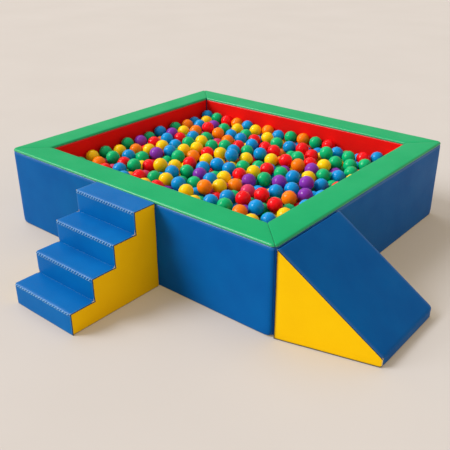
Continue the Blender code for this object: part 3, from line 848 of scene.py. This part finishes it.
# %% Bands under the noses and lines in the corners
band_top, band_height, stitch_pitch = 0.0025, 0.0125, 0.0150
side_margin = 0.005
band_lines, band_stitches, corner_lines = [], [], []
left_end, right_end = -steps_half + side_margin, steps_half - side_margin
for number in range(step_count):
    out = step_tread * (number + 1)
    nose = step_rise * (step_count - number)
    height = band_height * (0.7 if number == step_count - 1 else 1)
    high, low = nose - band_top, nose - band_top - height
    band_lines += [((left_end, -out, z), (right_end, -out, z)) for z in (high, low)]
    band_stitches += [((x, -out, low), (x + stitch_pitch * 0.7, -out, high))
                      for x in np.arange(left_end, right_end - stitch_pitch, stitch_pitch)]
    foot = nose - step_rise
    if foot > 0.01:
        corner_lines.append([(x, -out - 0.0001, foot - 0.0008) for x in (left_end, right_end)])
shift = np.array((steps_middle, steps_rear, 0))
stitching = [
    threads(*(np.array(ways).transpose(1, 0, 2) + shift), radius)
    for ways, radius in ((band_lines, 0.0003), (band_stitches, 0.0020), (corner_lines, 0.00010))]
add_piece("steps_stitching", stitching, thread, "steps")
print("threads on the steps:", len(band_lines) + len(band_stitches) + len(corner_lines))

# %% [markdown]
# ## Ramp
#
# The ramp is a foam wedge. Its blue cover runs up the back, down the slope, round the toe and under
# the wedge, and two yellow sides close it. It could be a box with its far edge pulled down, but then the
# cover and the sides would share one skin, so it is made as the steps are, from a ribbon and two sides.
# In the photograph its sides run at a slant to the wall, so the whole block leans sideways: each point
# moves along the wall by its distance from it times the lean.

# %% Sizes of the ramp, read from the solids
ramp_low, ramp_high = box("ramp_cover")
ramp_length = ramp_high[0] - ramp_low[0]
ramp_height, ramp_toe_height, ramp_toe_offset = 0.392, 0.042, 0.103
ramp_lean = ramp_toe_offset / ramp_length
ramp_half = (ramp_high[1] - ramp_low[1] - ramp_toe_offset) / 2
ramp_middle = ramp_low[1] + ramp_half
ramp_shift = (ramp_middle, -ramp_low[0])
at_ramp = (1, ramp_shift, (0.02, -ramp_length / 3, ramp_height / 3))
wedge = np.array((
    (ramp_length / 2, 0), (ramp_length / 2 - slot_half, 0), (0, 0), (0, ramp_height),
    (ramp_length, ramp_toe_height), (ramp_length, 0), (ramp_length / 2 + slot_half, 0), (ramp_length / 2, 0)))
toe_under = 0.009
wedge_radii = [0, 0.004, 0.006, 0.022, toe_under, 0]
toe_rounds = (0.004, 0.014)
print("ramp: length", ramp_length, "half width", ramp_half, "middle", ramp_middle)

# %% The cover of the ramp
ramp_slot_half = 0.155
cover = ribbon(wedge, wedge_radii, ramp_half, (), 41, lean=ramp_lean, ends=0, round_ends=toe_rounds)
x, y, z = np.moveaxis(middles(cover[0]), -1, 0)
wide = middles(cover[2][0])
in_slot = (np.abs(y + ramp_length / 2) < slot_half) & (z < slot_depth) & (np.abs(wide) < ramp_slot_half)
# The ramp's cover takes the darker copy of the blue, which paints in the shade of its slope.
add_panel("ramp_blue_cover", [placed((*cover, ~in_slot), *at_ramp)], shade_darkened_vinyl, "ramp",
          "ramp_cover")


# %% The sides of the ramp
def ramp_side(way, seed, step=0.012):
    """The wedge's side: columns from the wall to the toe, each from the underside to the slope.

    The underside rises at the toe by r - the root of (r squared - x squared), the arc below it."""
    path, _ = rounded_path(wedge, wedge_radii, 0.004, 10)
    slope = path[np.argmax(path[:, 1]):]
    slope = slope[:np.argmax(slope[:, 0] >= ramp_length - 1e-6) + 1]
    out = lattice(np.array((0, ramp_length)))[:, None]
    top = np.interp(out, slope[:, 0], slope[:, 1])
    margin = edge_rows[-4]
    near = edge_rows[:-3]
    middle = np.linspace(0, 1, round(ramp_height / step))[None, 1:-1]
    share = np.concatenate((0 * top + near, margin + (top - 2 * margin) * middle, top - near[::-1]), axis=1)
    share = share / top
    under = toe_under - np.sqrt(toe_under ** 2 - np.clip(out - ramp_length + toe_under, 0, toe_under) ** 2)
    up = under + (top - under) * share
    out = np.broadcast_to(out, up.shape)
    distance = outline_distance(out, up, path)
    toe_round = toe_rounds[way > 0]
    push = side_push(out, up, distance, seed) + roll(ramp_length - out, toe_round, toe_round)
    out = drawn_in(out, ramp_length / 2)
    slant = np.hypot(ramp_length, ramp_height - ramp_toe_height) / ramp_length
    low_top = np.interp(out, slope[:, 0], slope[:, 1]) - side_inset * slant
    up = under + side_inset + (low_top - under - side_inset) * share
    x = way * (ramp_half - side_inset * 0.5 - push) + ramp_lean * out
    return stacked(x, -out, up), distance, (out, up)


for side, way in (("front", -1), ("rear", 1)):
    add_panel(f"ramp_yellow_{side}_side", [placed(ramp_side(way, 43), *at_ramp)],
              yellow_vinyl, "ramp", f"ramp_{side}_side")

# %% [markdown]
# ## Foam, mat, tapes and zips
#
# What the covers hide still moves, and it shows when the blocks are pulled apart. Foam blocks, the mat
# and the tapes are all boxes with rounded edges. A Bevel modifier would round them too, but its points
# can't be moved afterwards, so one function works them out: a point on a box's face is drawn in to a
# ball round the nearest point of a smaller box. Moving the points then cuts the mitres and tapers the
# wedge. Each zip's coil is a bar whose thickness swells and shrinks like teeth.


# %% A box with rounded edges
def soft_block(low, high, radius, step):
    """Six grids: a point p goes to c + radius x (p - c) / |p - c|, with c = p held inside the core."""
    low, high = np.array(low, dtype=float), np.array(high, dtype=float)
    near = radius * (1 - np.tan(np.radians((45, 30, 15, 0))))
    lines = []
    for start, end in zip(low, high):
        middle = np.linspace(start + radius, end - radius, max(2, round((end - start) / step) + 1))
        lines.append(np.r_[start + near, middle[1:-1], (end - near)[::-1]])
    sides = []
    for axis in range(3):
        one, two = (axis + 1) % 3, (axis + 2) % 3
        for value in (low[axis], high[axis]):
            grid = np.empty((len(lines[one]), len(lines[two]), 3))
            grid[..., axis] = value
            grid[..., one] = lines[one][:, None]
            grid[..., two] = lines[two][None, :]
            core = np.clip(grid, low + radius, high - radius)
            away = grid - core
            grid = core + radius * away / np.linalg.norm(away, axis=-1, keepdims=True)
            sides.append(part(grid, centre=(low + high) / 2))
    return welded(sides)


# %% Foam of the walls
foam_inset = 0.010
for side, (turn, half_span, distance) in walls.items():
    block = soft_block(
        (-half_span, foam_inset, foam_inset),
        (half_span, wall_thickness - foam_inset, wall_height - foam_inset), 0.015, 0.04)
    block["points"][:, 0] *= 1 - (block["points"][:, 1] + foam_inset) / half_span
    block["points"] = place(block["points"], turn, (0, -distance))
    add_piece(f"{side}_wall_foam_block", [block], foam, f"{side}_wall",
              [f"{side}_wall_foam"])

# %% Foam of the steps: four slabs glued on each other
slab_gap = 0.0002
slabs = []
for number in range(step_count):
    reach = step_tread * (step_count - number) - foam_inset
    bottom = step_rise * number + (foam_inset if number == 0 else slab_gap - foam_inset)
    slab = soft_block(
        (-steps_half + foam_inset, -reach, bottom),
        (steps_half - foam_inset, -foam_inset, step_rise * (number + 1) - foam_inset), 0.006, 0.04)
    slab["points"] = place(slab["points"], *at_steps[:2])
    slabs.append(slab)
add_piece("steps_foam_slabs", slabs, foam, "steps", ["steps_foam"])

# %% Foam of the ramp: a block whose height follows the slope
slope_inset = 0.018
block = soft_block(
    (-ramp_half + foam_inset, -ramp_length + foam_inset, foam_inset),
    (ramp_half - foam_inset, -foam_inset, ramp_height), 0.008, 0.03)
out = -block["points"][:, 1]
top = ramp_height - (ramp_height - ramp_toe_height) * out / ramp_length - slope_inset
block["points"][:, 2] = foam_inset + (block["points"][:, 2] - foam_inset) * (top - foam_inset) / (
    ramp_height - foam_inset)
block["points"][:, 0] += ramp_lean * out
block["points"] = place(block["points"], *at_ramp[:2])
add_piece("ramp_foam_wedge", [block], foam, "ramp", ["ramp_foam"])

# %% The base mat
mat_low, mat_high = box("base_mat_cover")
cover = soft_block(mat_low, mat_high, 0.007, 0.05)
add_piece("mat_blue_cover", [cover], blue_vinyl, "base_mat", ["base_mat_cover"])
pad = soft_block(mat_low + 0.004, mat_high - 0.004, 0.006, 0.10)
add_piece("mat_foam_sheet", [pad], foam, "base_mat", ["base_mat_foam"])
sheet = soft_block(*box("base_mat_underside"), 0.0012, 0.05)
add_piece("mat_non_slip_sheet", [sheet], non_slip, "base_mat", ["base_mat_underside"])


# %% Points of a solid
def solid_points(node):
    """A solid's mesh, its places with none twice, and the number of each point's place."""
    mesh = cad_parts[node].data
    places = np.empty(len(mesh.vertices) * 3, dtype="f")
    mesh.vertices.foreach_get("co", places)
    places, index = np.unique(np.round(places.reshape(-1, 3), 5), axis=0, return_inverse=True)
    return mesh, places, index.ravel()


def solid_frame(node):
    """A solid's middle, its thin, wide and long ways, and its half sizes along them.

    The ways are those in which its corner points spread least, more and most: the eigenvectors of
    their covariance."""
    corners = solid_points(node)[1]
    ways = np.linalg.eigh(np.cov(corners.T))[1].T
    spread = corners @ ways.T
    low, high = spread.min(axis=0), spread.max(axis=0)
    return (high + low) / 2 @ ways, ways, (high - low) / 2


# %% Hook and loop tapes
tape_stitch, tape_stitch_pitch, tape_stitch_margin = 0.0045, 0.0065, 0.0035


def add_tape(node, material, body):
    """A strip of tape with rounded edges, and a row of stitches along both long sides."""
    middle, ways, half = solid_frame(node)
    strip = soft_block(-half, half, 0.0006, 0.02)
    strip["points"] = middle + strip["points"] @ ways
    along = np.arange(-half[2] + 0.004, half[2] - 0.008, tape_stitch_pitch)
    starts = np.array([(end * half[0], side * (half[1] - tape_stitch_margin), spot)
                       for end in (-1, 1) for side in (-1, 1) for spot in along])
    ends = starts + (0, 0, tape_stitch)
    stitches = threads(middle + starts @ ways, middle + ends @ ways, 0.00025)
    add_piece(f"{node}_tape", [strip], material, body, [node])
    add_piece(f"{node}_stitches", [stitches], thread, body)


tapes = [(f"{side}_wall", f"{side}_wall_{kind}_strip", kind) for side in walls for kind in ("hook", "loop")]
tapes += [
    ("front_wall", "front_wall_steps_loop_strip", "loop"),
    ("right_wall", "right_wall_ramp_loop_strip", "loop"),
    ("steps", "steps_hook_strip", "hook"),
    ("ramp", "ramp_hook_strip", "hook"),
]
for body, node, kind in tapes:
    add_tape(node, hook_tape if kind == "hook" else loop_tape, body)


# %% Zips
coil_half, coil_drop, tooth_pitch = 0.0035, 0.0014, 0.0032


def add_zip(body):
    """Tape above, coil below: a half oval whose size swells by 0.8 + 0.2 |sin(pi x place / pitch)|."""
    low, high = box(f"{body}_zip")
    long_way = int(np.argmax(high - low))
    tape_low = low + (0, 0, coil_drop)
    tape = soft_block(tape_low, high, 0.0004, 0.03)
    place_along = np.arange(low[long_way], high[long_way], tooth_pitch / 4)[:, None]
    angle = np.linspace(0, np.pi, 7)[None, :]
    swell = 0.8 + 0.2 * np.abs(np.sin(np.pi * place_along / tooth_pitch))
    coil = np.empty((len(place_along), 7, 3))
    coil[..., long_way] = place_along
    coil[..., 1 - long_way] = (low + high)[1 - long_way] / 2 + coil_half * swell * np.cos(angle)
    coil[..., 2] = tape_low[2] + 0.0001 - coil_drop * swell * np.sin(angle)
    coil = part(coil, centre=(low + high) / 2 + (0, 0, 0.0005))
    add_piece(f"{body}_zip_tape_and_coil", [tape, coil], zip_tape, body, [f"{body}_zip"])


for body in [f"{side}_wall" for side in walls] + ["steps", "ramp"]:
    add_zip(body)
    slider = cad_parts[f"{body}_zip_slider"]
    slider.data.materials.clear()
    slider.data.materials.append(zip_metal)

# %% [markdown]
# ## Balls
#
# A real pit is filled by pouring the balls in. A physics run could pour them here, but it would take
# minutes, and its top layer wouldn't be that of the solids. The solids hold one coarse dome for each
# ball of the top layer, so the tops of those domes say where the balls lie. The balls under them are
# laid from above: the highest centre that a ball can have at a place is the least, over its neighbours,
# of their height less the root of (diameter squared less distance squared). The highest free place is
# filled, its surroundings sink, and so on to the mat.

# %% Where the solids have balls
ball_radius = 0.035
loose_colours = ("red", "blue", "green", "yellow", "orange", "purple")
bed_low, bed_high = box("ball_bed")
loose = {colour: sum(box(f"loose_{colour}_ball")) / 2 for colour in loose_colours}
held = np.array(list(loose.values()))


def dome_tops(node):
    """The points of a solid that are higher than every point that they share an edge with."""
    mesh, places, index = solid_points(node)
    pairs = np.empty(len(mesh.edges) * 2, dtype=int)
    mesh.edges.foreach_get("vertices", pairs)
    pairs = index[pairs].reshape(-1, 2)
    neighbour = np.full(len(places), -1.0)
    for one, other in ((0, 1), (1, 0)):
        np.maximum.at(neighbour, pairs[:, one], places[pairs[:, other], 2])
    return places[places[:, 2] > neighbour + 1e-5]


tops = dome_tops("ball_bed") - (0, 0, ball_radius)
print("domes:", len(tops), "loose balls:", len(held))

# %% The top layer, in even rows across the view
ball_spacing = np.array((0.074, 0.106))
least_apart = 0.74
plan_ways = np.array((level[:2], (-level[1], level[0])))


def scaled(points):
    """Places in plan, across the view and along it, in units of the wanted spacing."""
    return points[:, :2] @ plan_ways.T / ball_spacing


def spread_out(kept, rounds=60):
    """Moves balls apart in plan. Each pair that is nearer than 1 moves apart by 0.3 x what it lacks."""
    kept = kept.copy()
    for _ in range(rounds):
        every = scaled(np.vstack((kept, held)))
        away = every[:len(kept), None] - every[None]
        length = np.linalg.norm(away, axis=-1, keepdims=True)
        lack = np.where((length > 0) & (length < 1), 1 - length, 0)
        step = np.sum(0.3 * lack * away / np.maximum(length, 1e-9), axis=1) * ball_spacing
        kept[:, :2] = np.clip(
            kept[:, :2] + step @ plan_ways, bed_low[:2] + ball_radius, bed_high[:2] - ball_radius)
    return kept


top_layer = held
for centre in tops[np.argsort(-tops[:, 2])]:
    if np.linalg.norm(scaled(top_layer) - scaled(centre[None]), axis=1).min() > least_apart:
        top_layer = np.vstack((top_layer, centre))
top_layer = spread_out(top_layer[len(held):])
print("balls in the top layer:", len(top_layer))


# %% The layers below it
def balls_below(upper, top, seed, cell=0.006):
    """Centres of the balls that fill the bed's box under some upper ones, highest free place first.

    The choice adds a little chance to each height, so that equal places aren't filled row by row."""
    chance = np.random.default_rng(seed)
    x, y = (np.arange(bed_low[axis] + ball_radius, bed_high[axis] - ball_radius, cell) for axis in (0, 1))
    ceiling = np.full((len(x), len(y)), top)
    choice = chance.uniform(0, 0.004, ceiling.shape)
    window = int(2 * ball_radius / cell) + 2

    def sink(centre):
        """Lowers the ceiling round one ball."""
        i, j = round((centre[0] - x[0]) / cell), round((centre[1] - y[0]) / cell)
        rows = slice(max(i - window, 0), i + window)
        columns = slice(max(j - window, 0), j + window)
        room = (2 * ball_radius) ** 2 - (x[rows, None] - centre[0]) ** 2 - (y[None, columns] - centre[1]) ** 2
        under = np.where(room > 0, centre[2] - np.sqrt(np.maximum(room, 0)), top)
        ceiling[rows, columns] = np.minimum(ceiling[rows, columns], under)

    for centre in upper:
        sink(centre)
    found = []
    while True:
        i, j = np.unravel_index(np.argmax(ceiling + choice), ceiling.shape)
        centre = np.array((x[i], y[j], ceiling[i, j]))
        if centre[2] < bed_low[2] + ball_radius:
            break
        found.append(centre)
        sink(centre)
    return np.array(found)


highest_lower_ball = 0.262
lower = balls_below(np.vstack((top_layer, held)), highest_lower_ball, seed=5)
centres = np.vstack((top_layer, lower))
print("balls below:", len(lower), "centres from z", centres[:, 2].min(), "to", centres[:, 2].max())

# %% [markdown]
# ## Ball plastic
#
# The balls are blown from glossy polyethylene. Each has a faint moulding line round it and a tone of
# its own. A material for each ball would be hundreds, so both come from attributes that one material a
# colour reads: `mould` is a point's distance from the plane of the line, as a share of the radius, and
# `tone` is one random number for each ball.


# %% One plastic for each colour
def ball_plastic(name, colour):
    """Glossy plastic: tone from the ball's own number, a faint duller line where mould is near 0."""
    material, nodes, spot = new_material(name)
    away = nodes.math("ABSOLUTE", nodes.attribute("mould"))
    line = nodes.ranged(away, 0.012, 0.035, 1.0, 0.0, "SMOOTHSTEP")
    deep = tuple(value * 0.88 for value in colour)
    base = nodes.mix(nodes.attribute("tone"), colour, deep)
    base = nodes.mix(nodes.math("MULTIPLY", line, 0.18), base, deep)
    bump = nodes.add("ShaderNodeBump", {"Height": line, "Strength": 0.4, "Distance": 0.0004}).outputs[0]
    return finish_material(material, nodes, {
        "Base Color": base, "Roughness": nodes.ranged(nodes.noise(spot, 60.0, 4.0), 0.3, 0.7, 0.14, 0.18),
        "Normal": bump, "Specular IOR Level": 0.15})


ball_colours = {
    "red": (0.930, 0.005, 0.010), "blue": (0.001, 0.285, 0.690), "green": (0.001, 0.460, 0.160),
    "yellow": (0.990, 0.620, 0.002), "orange": (0.990, 0.215, 0.002), "purple": (0.230, 0.032, 0.410),
    "pink": (0.640, 0.035, 0.130),
}
plastics = {colour: ball_plastic(f"{colour} ball", value) for colour, value in ball_colours.items()}
print("plastics:", ", ".join(plastics))


# %% Spheres
mould_slant = 0.31


def ball_template(cuts):
    """A sphere of even four-cornered faces: a cube's grid, spread by its tangent and made round.

    Its corners stand out of the true ball as far as its faces stay inside: x 2 / (1 + least |middle|)."""
    line = np.tan(np.linspace(-1, 1, cuts + 1) * np.pi / 4)
    a, b = np.meshgrid(line, line, indexing="ij")
    sides = [stacked(*way) for way in ((1, a, b), (-1, a, b), (a, 1, b), (a, -1, b), (a, b, 1), (a, b, -1))]
    sides = [side / np.linalg.norm(side, axis=-1, keepdims=True) for side in sides]
    ball = welded([part(side, centre=(0, 0, 0)) for side in sides])
    face_middles = ball["points"][ball["faces"]].mean(axis=1)
    ball["points"] = ball["points"] * 2 / (1 + np.linalg.norm(face_middles, axis=1).min())
    return ball


def many_balls(centres, cuts, seed):
    """Copies of the template at the centres, each turned its own way, with mould and tone."""
    chance = np.random.default_rng(seed)
    template = ball_template(cuts)
    turns = np.linalg.qr(chance.normal(size=(len(centres), 3, 3)))[0]
    turns[:, :, 0] *= np.sign(np.linalg.det(turns))[:, None]
    unit = np.einsum("nij,vj->nvi", turns, template["points"])
    count = len(template["points"])
    faces = template["faces"][None] + count * np.arange(len(centres))[:, None, None]
    points = (np.array(centres)[:, None] + ball_radius * unit).reshape(-1, 3)
    mould = np.tile(template["points"][:, 2] + mould_slant * template["points"][:, 0], len(centres))
    tone = np.repeat(chance.uniform(0, 1, len(centres)), count)
    return edgeless(points, faces.reshape(-1, 4), mould=mould, tone=tone)


# %% Colours for the bed
def mixed_colours(spots, given_colours, shares, seed, reach=0.13):
    """Draws each ball's colour. Its chance is its share x (distance to its nearest / reach) cubed."""
    chance = np.random.default_rng(seed)
    picked = np.array(list(given_colours) + [0] * (len(spots) - len(given_colours)))
    for number in range(len(given_colours), len(spots)):
        nearest = np.full(len(shares), reach)
        away = np.linalg.norm(spots[:number] - spots[number], axis=1)
        np.minimum.at(nearest, picked[:number], away)
        weight = shares * (nearest / reach) ** 3
        picked[number] = chance.choice(len(shares), p=weight / weight.sum())
    return picked[len(given_colours):]


# Shares in the order of ball_colours, about those that the photograph shows.
shares = np.array((14, 24, 34, 17, 5, 4, 2)) / 100
picked = mixed_colours(np.vstack((held, centres)), range(len(loose)), shares, 12)
print("balls:", len(centres) + len(loose), "of each colour:", dict(zip(ball_colours, np.bincount(picked))))

# %% The bed of balls and the loose ones
bed_cuts, loose_cuts = 3, 7
for number, colour in enumerate(ball_colours):
    add_piece(f"bed_{colour}_balls", [many_balls(centres[picked == number], bed_cuts, number)],
              plastics[colour], "ball_bed", ["ball_bed"])
for number, (colour, centre) in enumerate(loose.items()):
    name = f"loose_{colour}_ball"
    add_piece(f"{colour}_ball", [many_balls([centre], loose_cuts, 60 + number)], plastics[colour], name,
              [name])

# %% [markdown]
# ## Floor and light
#
# The pit stands on a plain pale floor. One large soft lamp at the upper left gives the bright tops and
# the soft shadows to the right, a weaker one lifts what faces up, a faint warm one reaches the faces
# that look right, and a pale sky fills the rest. Area lamps would light the near floor more than the
# far one, so all three are suns with a wide disk, which light it evenly. A sun's strength is pi x the
# brightness that it gives to white. What the camera sees of the floor is a little paler in the shadows
# than what lights the pit from below, and the sky behind it has the floor's colour.

# %% What the camera sees of the floor and the sky
def seen_rays(nodes):
    """1 for rays from the camera, a glossy surface or glass, and 0 for those that carry light."""
    ray = nodes.add("ShaderNodeLightPath").outputs
    seen = nodes.math("ADD", ray["Is Camera Ray"], ray["Is Glossy Ray"])
    return nodes.math("ADD", seen, ray["Is Transmission Ray"])


# %% Floor
material, nodes, spot = new_material("pale floor")
seen = seen_rays(nodes)
base = nodes.mix(nodes.noise(spot, 1.3, 4.0), (0.54, 0.494, 0.456), (0.60, 0.549, 0.506))
held_back = nodes.mix(1.0, base, (0.76, 0.82, 0.94), "MULTIPLY")
floor_finish = finish_material(material, nodes, {
    "Base Color": nodes.mix(seen, base, held_back), "Roughness": 0.8, "Specular IOR Level": 0.1,
    "Emission Color": (0.179, 0.125, 0.045), "Emission Strength": seen})
mesh = bpy.data.meshes.new("floor")
reach = 30.0
mesh.from_pydata([(-reach, -reach, 0), (reach, -reach, 0), (reach, reach, 0), (-reach, reach, 0)],
                 [], [(0, 1, 2, 3)])
mesh.materials.append(floor_finish)
floor = bpy.data.objects.new("floor", mesh)
floor.location.z = -0.0003
bpy.context.scene.collection.objects.link(floor)
floor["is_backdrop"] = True
print("floor", 2 * reach, "m square")


# %% Lamps
def soft_lamp(name, way, spread, brightness, colour):
    """A sun whose disk is some degrees wide and that shines from a direction."""
    way = np.array(way) / np.linalg.norm(way)
    light = bpy.data.lights.new(name, "SUN")
    light.angle = np.radians(spread)
    light.energy = np.pi * brightness
    light.color = colour
    side = np.cross((0, 0, 1), way)
    side /= np.linalg.norm(side)
    aimed(name, light, (way * 6).tolist(), (side, np.cross(way, side), way))
    print(name, "lamp gives", brightness, "of white from a disk", spread, "degrees wide")


soft_lamp("key", (-0.60, -0.53, 0.60), 32, 1.00, (1.0, 0.985, 0.96))
soft_lamp("left", (-0.60, 0.10, 0.79), 40, 0.24, (1.0, 0.99, 0.975))
soft_lamp("warm right", (0.96, 0.06, 0.25), 40, 0.14, (1.0, 0.50, 0.20))

# %% Sky
world = bpy.data.worlds.new("studio")
world.use_nodes = True
world.node_tree.nodes.clear()
nodes = Nodes(world.node_tree)
sky = nodes.mix(seen_rays(nodes), (0.480, 0.473, 0.463), (0.735, 0.670, 0.602))
nodes.add("ShaderNodeOutputWorld", {"Surface": nodes.add("ShaderNodeBackground", {"Color": sky}).outputs[0]})
bpy.context.scene.world = world
bpy.context.scene.view_settings.view_transform = "Standard"
print("sky:", world.name, "colours shown as:", bpy.context.scene.view_settings.view_transform)

# %% [markdown]
# ## Finish
#
# Cloth may stand a little proud of its foam, but the dressed pit must not outgrow its solids. Their
# boxes could be compared by eye in the viewport, where 2 mm on 2 m don't show, so both are measured and
# written out.

# %% Compare the sizes and finish
low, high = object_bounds()
past = np.maximum(np.subtract(cad_low, low), np.subtract(high, cad_high))
print("most that the pit stands past its solids, in mm:", round(1000 * past.max(), 2))
